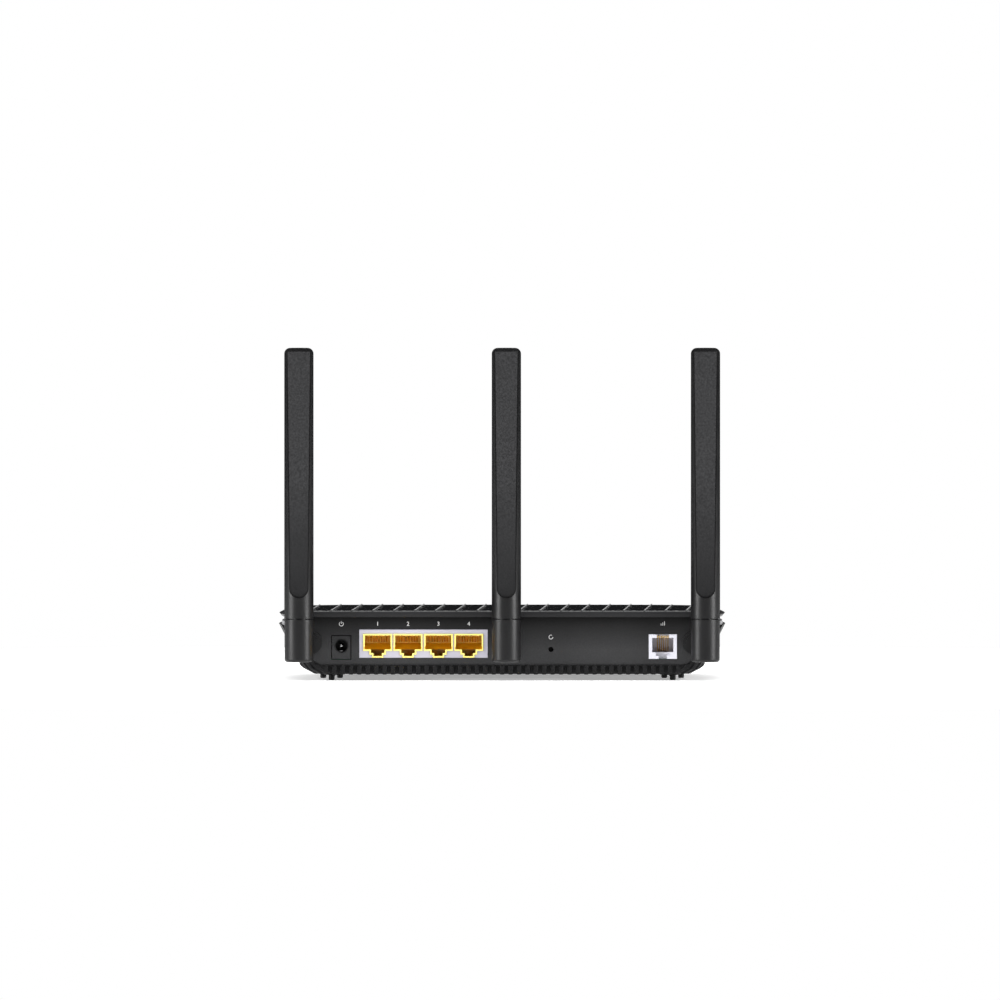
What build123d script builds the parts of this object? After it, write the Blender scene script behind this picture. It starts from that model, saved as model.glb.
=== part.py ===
from build123d import *
import os
from math import sqrt

os.makedirs("parts", exist_ok=True)

# A wireless modem-router with three antennas. Millimetres, +Z up, +X to the right when the
# jacks are faced, -Y towards the jack side. Z = 0 is the surface that the feet stand on.

# ---- body ----
half_width = 102.8            # tray rim at its widest
lip_y = -58.0                 # rear lip of the cover
front_y = 72.0                # foremost point of the body
widest_y = -12.0              # where the side walls bulge furthest
rear_y = -56.6                # tray's rear frame
rear_narrow, front_narrow = 2.6, 9.0      # how far the rear and front corners lie inside
front_bow = 6.0                           # the widest point, and how far the front bows
corner_rear, corner_front = 8.0, 26.0
floor_z, floor_t = 3.0, 1.4
wall = 1.4
ledge_z = 20.8                # underside of the gutter between tray and cover
gutter_z = 22.2
rim_z = 25.4
inner_wall_top, inner_wall_in = 28.0, 5.8
inner_wall_front = 65.4
cover_z0, cover_edge_z, cover_top = 29.2, 30.4, 31.9
cover_t = 1.5
skirt_z0, skirt_in, skirt_rear, skirt_front = 24.2, 7.8, -46.0, 63.4
trim_in, trim_t = 1.15, 1.05  # the light strip inside the tray's flare

# ---- rear panel ----
panel_y = -55.6               # outer face
panel_t = 1.6
panel_z0, panel_z1 = 7.3, 29.1

# ---- board and fastenings ----
board_top, board_t = 10.0, 1.6
board_half, board_y0, board_y1 = 84.0, -53.2, 46.0
case_screw_xy = ((82.0, -34.0), (74.0, 37.0))
board_screw_xy = ((58.0, -19.5), (58.0, 36.0))
tray_post_r, cover_post_r = 3.4, 3.2
keyhole_x, keyhole_y = 45.0, 14.0
keyhole_r, keyhole_neck, keyhole_run = 4.2, 2.1, 9.0

# ---- grooves and feet ----
rib_pitch = 3.86              # pitch of the grooves, and of the feet's lobes
groove_w, groove_depth = 1.7, 1.0
groove_top = 6.9
foot_x = 78.4
foot_rows = (-44.0, 28.0)
lobe_half_w, lobe_half_l, outer_lobe_z = 1.35, 5.6, 1.0

# ---- antennas ----
antenna_r = 6.72
antenna_y = -72.09 + antenna_r
antenna_x = {"left": -93.3, "middle": 1.93, "right": 93.3}
pivot_x = {"left": -88.0, "middle": 1.93, "right": 88.0}
pivot_z = 17.4
knuckle_r, knuckle_z0, seam_z, seam_gap = 6.62, 8.75, 28.55, 0.45
paddle_top = 153.0
facet_z0, facet_w0, facet_w1 = 38.15, 8.9, 11.4
boss_r, stem_r = 5.2, 3.6
spigot_r, collar_r = 4.0, 4.35            # the paddle's spigot and its snap collar
bore_r = 1.0                  # channel for the coaxial lead
running = 0.05                # radial clearance of the turning fits

# ---- jacks ----
lan_x = (-57.2, -43.25, -29.3, -15.35)
lan_block = (-65.6, -6.7, 10.0, 23.4)     # x0, x1, z0, z1 of the shield
lan_face_z0 = 10.5            # lower edge of the shield where it passes the panel
contact_pitch = 1.18
jack_face_y = -55.9
dsl_x, dsl_half, dsl_top = 73.8, 6.45, 21.2
line_contact_pitch = 0.95
power_x, power_hole_z = -73.9, 16.0
power_half, power_top = 4.22, 20.45
power_mouth_r, power_bore_r, power_pin_r = 3.35, 2.8, 0.95
reset_x, reset_z = 22.4, 14.3

# ---- side port bay, on the left flank ----
bay_y0, bay_y1, bay_z0, bay_z1 = -31.0, 15.0, 8.4, 17.6
bay_plate_x = -91.6
button_z = 13.0
button_y = {"power": -24.0, "wifi": -11.0}
usb_y = 5.0


def box(x0, x1, y0, y1, z0, z1):
    """A box from its low and high coordinates."""
    return Pos((x0 + x1) / 2, (y0 + y1) / 2, (z0 + z1) / 2) * Box(x1 - x0, y1 - y0, z1 - z0)


def disc(axis, centre, radius, low, high):
    """A cylinder along X, Y or Z, from low to high on that axis; centre gives the other two."""
    mid, length = (low + high) / 2, high - low
    if axis == "Z":
        return Pos(centre[0], centre[1], mid) * Cylinder(radius, length)
    if axis == "Y":
        return Pos(centre[0], mid, centre[1]) * Rot(90, 0, 0) * Cylinder(radius, length)
    return Pos(mid, centre[0], centre[1]) * Rot(0, 90, 0) * Cylinder(radius, length)


def group(parts):
    """Separate solids kept as one node."""
    solids = []
    for part in parts:
        solids.extend(part.solids())
    return Compound(children=solids)


def outline(z, side, rear, front):
    """The body's plan at height z: straight rear, bulging sides, gently bowed front."""
    rear_half, front_half = side - rear_narrow, side - front_narrow
    corner_y = front - front_bow
    edges = [
        Line((-rear_half, rear), (rear_half, rear)),
        ThreePointArc((rear_half, rear), (side, widest_y), (front_half, corner_y)),
        ThreePointArc((front_half, corner_y), (0, front), (-front_half, corner_y)),
        ThreePointArc((-front_half, corner_y), (-side, widest_y), (-rear_half, rear)),
    ]
    face = make_face(Curve() + edges)
    corners = face.vertices().sort_by(Axis.Y)
    face = fillet(corners[:2], corner_rear)
    corners = face.vertices().sort_by(Axis.Y)
    face = fillet(corners[-2:], corner_front)
    return Pos(0, 0, z) * face


def lofted(sections):
    """A solid through plans, each given as (z, side, rear, front)."""
    return loft([outline(*section).face() for section in sections], ruled=True)


# Plans of the tray's outer skin: a rounded bottom edge, then a flare up to the rim.
tray_plans = [
    (floor_z, 87.4, -55.2, 57.0),
    (5.3, 91.7, rear_y, 61.0),
    (7.6, 93.4, rear_y, 63.0),
    (gutter_z, 101.2, rear_y, 70.4),
    (rim_z, half_width, rear_y, 71.6),
]


def side_at(z):
    """Half width of the tray's outer skin at height z."""
    for (z0, s0, *_), (z1, s1, *_) in zip(tray_plans, tray_plans[1:]):
        if z0 <= z <= z1:
            return s0 + (s1 - s0) * (z - z0) / (z1 - z0)
    return half_width


def screw_spots():
    """Places of the four case screws."""
    return [(s * x, y) for x, y in case_screw_xy for s in (-1, 1)]


def board_spots():
    """Places of the four board screws."""
    return [(s * x, y) for x, y in board_screw_xy for s in (-1, 1)]


def groove_cutters():
    """Blind grooves with rounded tops in the rear lower edge, half a pitch off the middle."""
    cutters = []
    top = groove_top - groove_w / 2
    bottom_y = rear_y + groove_depth
    count = int((side_at(groove_top) - rear_narrow - corner_rear) / rib_pitch)
    for k in range(-count, count):
        x = (k + 0.5) * rib_pitch
        groove = box(x - groove_w / 2, x + groove_w / 2, rear_y - 1, bottom_y, 2, top)
        cutters.append(groove + disc("Y", (x, top), groove_w / 2, rear_y - 1, bottom_y))
    return cutters


def keyhole(x, y):
    """A wall-mounting keyhole: a round entry and a narrower slot towards the rear."""
    neck = box(x - keyhole_neck, x + keyhole_neck, y - keyhole_run, y, 2, 5)
    return disc("Z", (x, y), keyhole_r, 2, 5) + neck


def make_tray():
    """Bottom tray: floor, flared walls, gutter, grooves, posts, keyholes and bay opening."""
    skin = lofted(tray_plans)
    cavity = lofted([(floor_z + floor_t, 88.8, -54.0, 58.0),
                     (7.6, 93.4 - wall, rear_y + wall, 63.0 - wall),
                     (ledge_z, side_at(ledge_z) - wall, rear_y + wall, 69.7 - wall)])
    well = lofted([(ledge_z - 0.01, side_at(rim_z) - 7.2, rear_y + wall, 64.0),
                   (inner_wall_top + 1, side_at(rim_z) - 7.2, rear_y + wall, 64.0)])
    gutter = lofted([(gutter_z, side_at(gutter_z) - 1.0, rear_y - 0.5, 69.4),
                     (rim_z + 0.01, half_width - 1.0, rear_y - 0.5, 70.6),
                     (inner_wall_top + 1, half_width - 1.0, rear_y - 0.5, 70.6)])
    core = lofted([(gutter_z - 1, half_width - inner_wall_in, rear_y, inner_wall_front),
                   (inner_wall_top, half_width - inner_wall_in, rear_y, inner_wall_front)])
    tray = skin - gutter + core - cavity - well
    # the gutter is open at both rear corners, and the rear frame where the panel stands
    tray = tray - [box(*sorted((s * 97.2, s * 110)), -60, -46, gutter_z, 30) for s in (-1, 1)]
    tray = tray - panel_blank(-60, rear_y + wall + 3, 0.15) - box(-97, 97, -60, -50, 27.4, 30)
    tray = tray - groove_cutters()
    tray = tray - box(-110, bay_plate_x + 1.2, bay_y0, bay_y1, bay_z0, bay_z1)
    posts = [disc("Z", spot, tray_post_r, floor_z + 1, board_top - board_t)
             for spot in screw_spots() + board_spots()]
    tray = tray + posts
    for spot in screw_spots():
        tray = tray - disc("Z", spot, 1.7, 2, 12) - disc("Z", spot, 2.9, 2, floor_z + 2.4)
    for spot in board_spots():
        tray = tray - disc("Z", spot, 1.0, floor_z + 2, 12)
    tray = tray - [keyhole(x, keyhole_y) for x in (-keyhole_x, keyhole_x)]
    tray = tray - [box(x - 20, x + 20, y - 0.9, y + 0.9, 2, 5)
                   for x in (-24.0, 24.0) for y in (-6.0, -10.0, -14.0, -18.0)]
    return tray.solids().sort_by(SortBy.VOLUME)[-1]


def panel_blank(y0, y1, grow=0.0):
    """The rear panel's outline: sloping ends and rounded lower corners."""
    top, low = panel_z1 + grow, panel_z0 - grow
    points = [(-96 - grow, top), (96 + grow, top), (94.2 + grow, 15.5), (84.6 + grow, low),
              (-84.6 - grow, low), (-94.2 - grow, 15.5)]
    face = Plane.XZ * make_face(Polyline(*points, close=True))
    face = fillet([v for v in face.vertices() if v.Z < 20], 6.0)
    return Pos(0, y1, 0) * extrude(face, y1 - y0)


def port_outline(grow=0.0):
    """A stepped network-jack opening, in (x, z) from its own centre line."""
    half = [(5.95, 20.8), (5.95, 14.3), (3.15, 14.3), (3.15, 12.6), (1.95, 12.6), (1.95, 11.2)]
    grown = []
    for x, z in half:
        grown.append((x + grow, z + (grow if z > 20 else -grow)))
    mirrored = [(-x, z) for x, z in reversed(grown)]
    return grown + mirrored


def prism(points, x, y0, y1):
    """A prism along Y from an outline in (x, z), moved to x."""
    face = Plane.XZ * make_face(Polyline(*[(px + x, pz) for px, pz in points], close=True))
    return Pos(0, y1, 0) * extrude(face, y1 - y0)


def make_lan_jack():
    """Ganged housing with bezels, metal shield round it, and eight contacts in each port."""
    x0, x1, z0, z1 = lan_block
    plate_y = panel_y + 0.1
    housing = box(x0 + 0.5, x1 - 0.5, plate_y + 0.35, -35.5, z0 + 0.35, z1 - 0.4)
    for x in lan_x:
        housing = housing + prism(port_outline(0.62), x, jack_face_y, plate_y + 0.5)
    stop = make_face(Polyline((-50.0, 14.2), (-43.6, 17.0), (-43.6, 20.9), (-41.0, 20.9),
                              (-41.0, 14.2), close=True))
    for x in lan_x:
        housing = housing - prism(port_outline(), x, jack_face_y - 1, -41.5)
        housing = housing - box(x - 6.25, x + 6.25, jack_face_y - 1, -52.5, 14.55, 15.55)
        housing = housing + Pos(x - 6.0, 0, 0) * extrude(Plane.YZ * stop, 12.0)
    shield = box(x0, x1, plate_y, -35.0, z0, z1) - box(x0 + 0.4, x1 - 0.4, plate_y + 0.3, -30,
                                                       z0 + 0.3, z1 - 0.35)
    for x in lan_x:
        shield = shield - prism(port_outline(0.72), x, plate_y - 1, plate_y + 1)
    # both step up where they pass the panel's lower frame
    step = box(x0 - 1, x1 + 1, -60, panel_y + panel_t + 0.1, z0 - 1, lan_face_z0)
    housing, shield = housing - step, shield - step
    contacts = []
    for x in lan_x:
        for k in range(8):
            cx = x + (k - 3.5) * contact_pitch
            profile = make_face(Polyline((-54.8, 20.75), (-54.8, 20.4), (-46.0, 17.5),
                                         (-43.6, 17.5), (-43.6, 17.8), (-46.0, 17.85),
                                         close=True))
            blade = extrude(Plane.YZ * profile, 0.5)
            contacts.append(Pos(cx - 0.25, 0, 0) * blade)
    return housing, shield, group(contacts)


def make_dsl_jack():
    """Line jack: stepped opening, slot for the contacts above and a latch notch below."""
    body = box(dsl_x - dsl_half, dsl_x + dsl_half, jack_face_y, -41.0, board_top, dsl_top)
    cavity = [box(dsl_x - 4.88, dsl_x + 4.88, -57, -44, 13.0, 19.6),
              box(dsl_x - 3.25, dsl_x + 3.25, -57, -52.6, 11.4, 13.2),
              box(dsl_x - 1.9, dsl_x + 1.9, -57, -52.6, 9.0, 11.6),
              box(dsl_x - 2.8, dsl_x + 2.8, -57, -52.5, 19.4, 22.0)]
    contacts = []
    for k in range(6):
        cx = dsl_x + (k - 2.5) * line_contact_pitch
        profile = make_face(Polyline((-54.6, 19.7), (-54.6, 20.6), (-54.9, 20.6), (-54.9, 19.5),
                                     (-51.5, 19.1), (-46.0, 13.6), (-44.0, 13.2), (-44.0, 13.5),
                                     (-45.8, 13.9), (-51.3, 19.4), close=True))
        contacts.append(Pos(cx - 0.2, 0, 0) * extrude(Plane.YZ * profile, 0.4))
    return body - cavity, group(contacts)


def make_power_jack():
    """Barrel inlet: square-faced body, hollow centre pin post and a leaf contact."""
    body = box(power_x - power_half, power_x + power_half, panel_y, -43.0, board_top, power_top)
    mouth = disc("Y", (power_x, power_hole_z), power_mouth_r, -57, -54.2)
    bore = disc("Y", (power_x, power_hole_z), power_bore_r, -57, -46.0)
    spring = box(power_x - 0.7, power_x + 0.7, -50.0, -46.0, power_hole_z - 2.6,
                 power_hole_z - 2.35)
    pin = disc("Y", (power_x, power_hole_z), power_pin_r, -53.0, -46.0)
    tip = Pos(power_x, -53.0, power_hole_z) * Sphere(power_pin_r)
    return body - mouth - bore, pin + tip, spring


def paddle_profile(radius, z0, z1, corner):
    """A turned bar with a rounded top edge."""
    wire = [Line((0, z0), (radius, z0)), Line((radius, z0), (radius, z1 - corner)),
            RadiusArc((radius, z1 - corner), (radius - corner, z1), -corner),
            Line((radius - corner, z1), (0, z1)), Line((0, z1), (0, z0))]
    return revolve(Plane.XZ * make_face(Curve() + wire), Axis.Z)


def facet_depth(width):
    """How far from the bar's axis a flat of this width lies."""
    return sqrt(antenna_r ** 2 - (width / 2) ** 2)


def facet_outline(inset, top):
    """U-shaped edge of the paddle's flat: round below, slightly wider above."""
    r0, r1 = facet_w0 / 2 - inset, facet_w1 / 2 - inset
    centre = facet_z0 + facet_w0 / 2
    edges = [ThreePointArc((-r0, centre), (0, centre - r0), (r0, centre)),
             Line((r0, centre), (r1, top)), Line((r1, top), (-r1, top)),
             Line((-r1, top), (-r0, centre))]
    return make_face(Curve() + edges)


def behind_facet(lift, thickness):
    """A slab whose rear face is the facet's plane, moved in by lift, this thick."""
    y0 = -facet_depth(facet_w0) + lift
    y1 = -facet_depth(facet_w1) + lift
    z0, z1 = facet_z0 - 4, paddle_top + 6
    slope = (y1 - y0) / (paddle_top - facet_z0)
    low, high = y0 - 4 * slope, y1 + 6 * slope
    side = make_face(Polyline((low, z0), (high, z1), (high + thickness, z1),
                              (low + thickness, z0), close=True))
    return Pos(-20, 0, 0) * extrude(Plane.YZ * side, 40)


def upright(face, y0, y1):
    """A prism along Y from a face drawn in (x, z)."""
    return Pos(0, y1, 0) * extrude(Plane.XZ * face, y1 - y0)


def make_paddle():
    """Paddle shell with its twist spigot, the flat rear cover in it, and the radiator strip."""
    z0 = seam_z + seam_gap / 2
    bar = paddle_profile(antenna_r, z0, paddle_top, 2.7)
    outside = behind_facet(-20, 20)
    bar = bar - (upright(facet_outline(0, paddle_top + 2), -12, 2) & outside)
    rebate = upright(facet_outline(0.5, paddle_top - 1.6), -12, 3) & behind_facet(-0.1, 1.2)
    hollow = upright(facet_outline(1.5, paddle_top - 3.2), -12, 3.9) & behind_facet(-0.5, 20)
    plate = upright(facet_outline(0.56, paddle_top - 1.66), -12, 3) & behind_facet(0.0, 1.1)
    spigot = disc("Z", (0, 0), spigot_r, 21.4, z0 + 0.1) + disc("Z", (0, 0), collar_r, 20.6, 21.8)
    shell = bar - rebate - hollow + spigot
    shell = shell - disc("Z", (0, 0), bore_r, 20, 42)
    strip = box(-2.6, 2.6, 3.1, 3.9, 45.0, 140.0) + box(-0.8, 0.8, -0.4, 3.9, 45.0, 47.0)
    lead = disc("Z", (0, 0.2), 0.65, 30.0, 45.5)
    return shell, plate, strip + lead


def make_knuckle(offset):
    """Swing knuckle: turned body with a socket above and a boss and stem on its front side.

    offset is how far the swing axis lies to the +X side of the paddle's axis."""
    top = seam_z - seam_gap / 2
    body = Pos(0, 0, top + knuckle_z0) * Rot(180, 0, 0) * paddle_profile(knuckle_r, knuckle_z0,
                                                                        top, 1.3)
    y_panel = panel_y - antenna_y
    boss = disc("Y", (offset, pivot_z), boss_r, y_panel - 4.3, y_panel - 0.3)
    stem = disc("Y", (offset, pivot_z), stem_r, y_panel - 1, y_panel + panel_t + 2.6)
    groove = disc("Y", (offset, pivot_z), stem_r + 1, y_panel + panel_t + 0.6,
                  y_panel + panel_t + 1.5)
    groove = groove - disc("Y", (offset, pivot_z), 2.9, 0, 40)
    step = disc("Y", (offset, pivot_z), 3.7, y_panel - 5.6, y_panel - 0.3)
    knuckle = body + boss + step + stem - groove
    socket = disc("Z", (0, 0), spigot_r + running, 21.9, top + 1)
    undercut = disc("Z", (0, 0), collar_r + 0.25, 20.2, 21.9)
    channel = disc("Z", (0, 0), bore_r, pivot_z, 21) + disc("Y", (offset, pivot_z), bore_r, 0, 40)
    cross = box(min(0, offset) - 0.9, max(0, offset) + 0.9, -0.9, 0.9, pivot_z - 0.9,
                pivot_z + 0.9)
    return knuckle - socket - undercut - channel - cross


def make_clip(offset):
    """Open retaining clip in the stem's groove, just inside the panel."""
    y = panel_y - antenna_y + panel_t + 0.65
    ring = disc("Y", (offset, pivot_z), 4.9, y, y + 0.8)
    ring = ring - disc("Y", (offset, pivot_z), 2.95, y - 1, y + 2)
    return ring - box(offset - 1.4, offset + 1.4, y - 1, y + 2, pivot_z - 6, pivot_z)


def make_cover():
    """Top cover: pointed overhanging edge, thin plate, skirt inside the tray and screw posts."""
    skin = lofted([(cover_z0, 101.7, lip_y + 0.4, 70.9), (cover_edge_z, 102.6, lip_y, front_y),
                   (cover_top - 0.4, 100.4, lip_y, 70.0), (cover_top, 99.6, lip_y + 0.5, 69.2)])
    hollow = lofted([(cover_z0 - 0.1, 98.0, lip_y + 3.0, 66.6),
                     (cover_top - cover_t, 98.0, lip_y + 3.0, 66.6)])
    outer = lofted([(skirt_z0, half_width - skirt_in, skirt_rear, skirt_front),
                    (cover_top - 1, half_width - skirt_in, skirt_rear, skirt_front)])
    inside, rear, front = half_width - skirt_in - wall, skirt_rear - 2, skirt_front - wall
    inner = lofted([(skirt_z0 - 0.1, inside, rear, front),
                    (cover_top - cover_t, inside, rear, front)])
    skirt = outer - inner
    posts = []
    for spot in screw_spots():
        post = disc("Z", spot, cover_post_r, board_top, cover_top - 1)
        post = post - disc("Z", spot, 1.25, 5, 28)
        posts.append(post)
    return skin - hollow + skirt + posts


def make_trim(sign):
    """Light strip that lines the inner face of the tray's flare."""
    low, high, top = side_at(gutter_z) - trim_in, half_width - trim_in, rim_z + 1.6
    outer = lofted([(gutter_z + 0.1, low, rear_y, 69.0), (rim_z, high, rear_y, 70.2),
                    (top, high - 0.25, rear_y, 70.2)])
    inner = lofted([(gutter_z, low - trim_t, rear_y, 68.0), (rim_z, high - trim_t, rear_y, 69.2),
                    (top + 0.1, high - 0.4 - trim_t, rear_y, 69.2)])
    strip = (outer - inner) & box(*sorted((sign * 90, sign * 110)), -46.5, 52, 20, 30)
    return strip.solids().sort_by(SortBy.VOLUME)[-1]


def make_feet():
    """Four feet of three lobes each; the middle lobe stands on the surface."""
    feet = []
    for middle in (-foot_x, foot_x):
        for y in foot_rows:
            foot = box(middle - 4.9, middle + 4.9, y - 5, y + 5, floor_z - 0.6, floor_z)
            for k, low in ((-1, outer_lobe_z), (0, 0.0), (1, outer_lobe_z)):
                x = middle + k * rib_pitch
                bar = box(x - lobe_half_w, x + lobe_half_w, y - lobe_half_l, y + lobe_half_l, low,
                          floor_z)
                bar = fillet(bar.edges().filter_by(Axis.Z), 1.2)
                foot = foot + chamfer(bar.faces().sort_by(Axis.Z)[0].edges(), 0.35)
            feet.append(foot)
    return group(feet)


def make_bay():
    """Recessed panel on the left flank that holds two buttons and the USB socket."""
    block = box(-110, bay_plate_x + 1.2, bay_y0 + 0.05, bay_y1 - 0.05, bay_z0 + 0.05,
                bay_z1 - 0.05)
    block = block & lofted(tray_plans[1:-1])
    block = block - box(-110, bay_plate_x, bay_y0 + 1.2, bay_y1 - 1.2, bay_z0 + 1.0, bay_z1 - 1.0)
    for y in button_y.values():
        block = block - box(-110, -80, y - 4.2, y + 4.2, button_z - 2.4, button_z + 2.4)
    return block - box(-110, -80, usb_y - 6.8, usb_y + 6.8, button_z - 3.1, button_z + 3.1)


def make_button(y):
    """Side button: rounded cap through the bay plate, retaining flange and actuator rod."""
    cap = box(bay_plate_x - 1.6, bay_plate_x + 1.4, y - 4.05, y + 4.05, button_z - 2.25,
              button_z + 2.25)
    cap = fillet(cap.edges().filter_by(Axis.X), 1.6)
    cap = fillet(cap.faces().sort_by(Axis.X)[0].edges(), 0.5)
    flange = box(bay_plate_x + 1.25, bay_plate_x + 2.1, y - 5.0, y + 5.0, button_z - 2.9,
                 button_z + 2.9)
    rod = disc("X", (y, button_z), 0.9, bay_plate_x + 2, bay_plate_x + 6.4)
    return cap + flange + rod


def make_side_switch(y):
    """Switch that the button's rod presses, with a bore for the rod."""
    body = box(bay_plate_x + 5.0, bay_plate_x + 10.0, y - 3.2, y + 3.2, board_top,
               button_z + 2.6)
    return body - disc("X", (y, button_z), 1.2, bay_plate_x + 4, bay_plate_x + 8.5)


def make_usb():
    """USB socket: folded metal shell and the tongue with its four contacts."""
    x0, x1 = bay_plate_x - 0.2, bay_plate_x + 13.5
    z0, z1 = button_z - 2.9, button_z + 2.9
    shell = box(x0, x1, usb_y - 6.6, usb_y + 6.6, z0, z1)
    shell = shell - box(x0 - 1, x1 - 1.5, usb_y - 6.25, usb_y + 6.25, z0 + 0.35, z1 - 0.35)
    tongue = box(x0 + 1.4, x1 - 1.5, usb_y - 5.5, usb_y + 5.5, z1 - 2.4, z1 - 0.9)
    contacts = [box(x0 + 2.0, x1 - 1.6, usb_y + k * 2.3 - 0.5, usb_y + k * 2.3 + 0.5,
                    z1 - 2.6, z1 - 2.4) for k in (-1.5, -0.5, 0.5, 1.5)]
    return shell, tongue, group(contacts)


def fins(x0, x1, y0, y1, z0, z1, count):
    """A finned heat sink: base and upright fins along Y."""
    sink = box(x0, x1, y0, y1, z0, z0 + 1.6)
    pitch = (x1 - x0 - 1.0) / (count - 1)
    return sink + [box(x0 + k * pitch, x0 + k * pitch + 1.0, y0, y1, z0 + 1, z1)
                   for k in range(count)]


def can(x, y, r, height):
    """An electrolytic capacitor with a stepped sleeve edge."""
    body = disc("Z", (x, y), r, board_top, board_top + height)
    return fillet(body.edges().sort_by(Axis.Z)[-1:], 0.4)


def make_board():
    """Main board with screw holes."""
    board = box(-board_half, board_half, board_y0, board_y1, board_top - board_t, board_top)
    corners = board.edges().filter_by(Axis.Z).sort_by(Axis.Y)
    board = fillet(corners[-2:], 16.0)
    board = board - [disc("Z", spot, 1.7, 5, 12) for spot in screw_spots()]
    return board - [disc("Z", spot, 1.4, 5, 12) for spot in board_spots()]


def screw(spot, head_z, tip_z, shank_r, head_r, head_t, up):
    """A pan-head screw with a cross recess; up is +1 when the tip points up."""
    head = disc("Z", spot, head_r, *sorted((head_z, head_z - up * head_t)))
    shank = disc("Z", spot, shank_r, *sorted((head_z - up * 0.2, tip_z)))
    x, y = spot
    z0, z1 = sorted((head_z - up * head_t, head_z - up * head_t + up * 0.7))
    cross = box(x - 1.3, x + 1.3, y - 0.25, y + 0.25, z0, z1)
    cross = cross + box(x - 0.25, x + 0.25, y - 1.3, y + 1.3, z0, z1)
    return head + shank - cross


def lead_path(points):
    """Tube along straight runs joined by tangent arcs."""
    radii = [6.0] * (len(points) - 2)
    path = FilletPolyline(*points, radius=radii)
    start = Plane(origin=path @ 0, z_dir=path % 0)
    return sweep(start * Circle(0.65), path=path)


def make_leads():
    """Three coaxial leads from the antenna stems to their plugs on the board."""
    leads, plugs = [], []
    targets = {"left": (-70.0, 4.0), "middle": (8.0, -20.0), "right": (70.0, 4.0)}
    for side, (tx, ty) in targets.items():
        px = pivot_x[side]
        y0 = panel_y + panel_t + 3.4
        turn = (px + tx) / 2
        leads.append(lead_path([(px, y0, pivot_z), (px, y0 + 9, pivot_z + 0.4),
                                (turn, ty - 8, 18.5), (tx, ty, 19.0), (tx, ty + 1.5, 11.6)]))
        plugs.append(disc("Z", (tx, ty + 1.5), 1.6, board_top, 11.4))
    return group(leads), group(plugs)


nodes = {}
nodes["bottom_tray"] = make_tray()
nodes["top_cover"] = make_cover()
nodes["side_trim_left"], nodes["side_trim_right"] = make_trim(-1), make_trim(1)
nodes["feet"] = make_feet()

# rear panel, open for the jacks, the antenna stems and the reset button
panel = panel_blank(panel_y, panel_y + panel_t)
panel = panel - box(lan_block[0] - 0.1, lan_block[1] + 0.1, -60, -50, lan_face_z0 - 0.05,
                    lan_block[3] + 0.1)
panel = panel - box(dsl_x - dsl_half - 0.15, dsl_x + dsl_half + 0.15, -60, -50, board_top - 0.1,
                    dsl_top + 0.15)
panel = panel - box(power_x - power_half - 0.4, power_x + power_half + 0.4, -60, -50,
                    board_top - 0.4, power_top + 0.4)
panel = panel - disc("Y", (reset_x, reset_z), 1.2, -60, -50)
for px in pivot_x.values():
    panel = panel - disc("Y", (px, pivot_z), stem_r + running, -60, -50)
nodes["rear_panel"] = panel

nodes["lan_jack_housing"], nodes["lan_jack_shield"], nodes["lan_jack_contacts"] = make_lan_jack()
nodes["dsl_jack_housing"], nodes["dsl_jack_contacts"] = make_dsl_jack()
power_parts = make_power_jack()
nodes["power_jack_housing"], nodes["power_jack_pin"], nodes["power_jack_spring"] = power_parts

for side, ax in antenna_x.items():
    offset = pivot_x[side] - ax
    at = Pos(ax, antenna_y, 0)
    shell, plate, strip = make_paddle()
    nodes[f"antenna_knuckle_{side}"] = at * make_knuckle(offset)
    nodes[f"antenna_clip_{side}"] = at * make_clip(offset)
    nodes[f"antenna_shell_{side}"] = at * shell
    nodes[f"antenna_plate_{side}"] = at * plate
    nodes[f"antenna_radiator_{side}"] = at * strip
nodes["antenna_leads"], nodes["lead_plugs"] = make_leads()

nodes["main_board"] = make_board()
nodes["side_port_panel"] = make_bay()
for name, y in button_y.items():
    nodes[f"{name}_button"] = make_button(y)
nodes["side_switches"] = group([make_side_switch(y) for y in button_y.values()])
nodes["usb_shell"], nodes["usb_tongue"], nodes["usb_contacts"] = make_usb()

# reset switch and its button behind the small hole
reset_body = box(reset_x - 3, reset_x + 3, -52.0, -47.0, board_top, 17.4)
nodes["reset_switch"] = reset_body - disc("Y", (reset_x, reset_z), 1.15, -53, -48)
nodes["reset_button"] = disc("Y", (reset_x, reset_z), 1.05, -54.3, -50.0)

# parts on the board
nodes["processor"] = box(-10, 8, -6, 12, board_top, 11.4)
nodes["thermal_pad"] = box(-9, 7, -5, 11, 11.4, 12.0)
nodes["heat_sink"] = fins(-17, 15, -13, 19, 12.0, 22.0, 9)
nodes["memory_chips"] = group([box(22, 33, y, y + 8, board_top, 11.1) for y in (-4, 8)])
nodes["radio_shields"] = group([box(-48, -26, 18, 38, board_top, 13.2),
                                box(24, 50, 18, 38, board_top, 13.2)])
nodes["lan_transformers"] = group([box(x - 6.2, x + 6.2, -32, -24, board_top, 15.5)
                                   for x in lan_x])
nodes["dsl_transformer"] = box(63, 77, -36, -23, board_top, 19.0)
nodes["capacitors"] = group([can(-72, -38 + 9 * k, 3.4, 11.0) for k in (0, 1)]
                            + [can(40, -36, 4.0, 12.0), can(50, -36, 4.0, 12.0)])
nodes["power_inductor"] = group([box(-63, -55, -16, -8, board_top, 14.0),
                                 box(52, 60, -6, 2, board_top, 14.0)])
lamp_x = [(k - 3.5) * 9.0 for k in range(8)]
nodes["status_lamps"] = group([box(x - 1, x + 1, 42.5, 44.5, board_top, 11.0) for x in lamp_x])
guide = box(-36, 36, 41.5, 59.8, 25.0, 26.4)
guide = guide + [box(x - 1.3, x + 1.3, 41.5, 45.5, 11.3, 25.5) for x in lamp_x]
nodes["light_guide"] = guide

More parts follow.
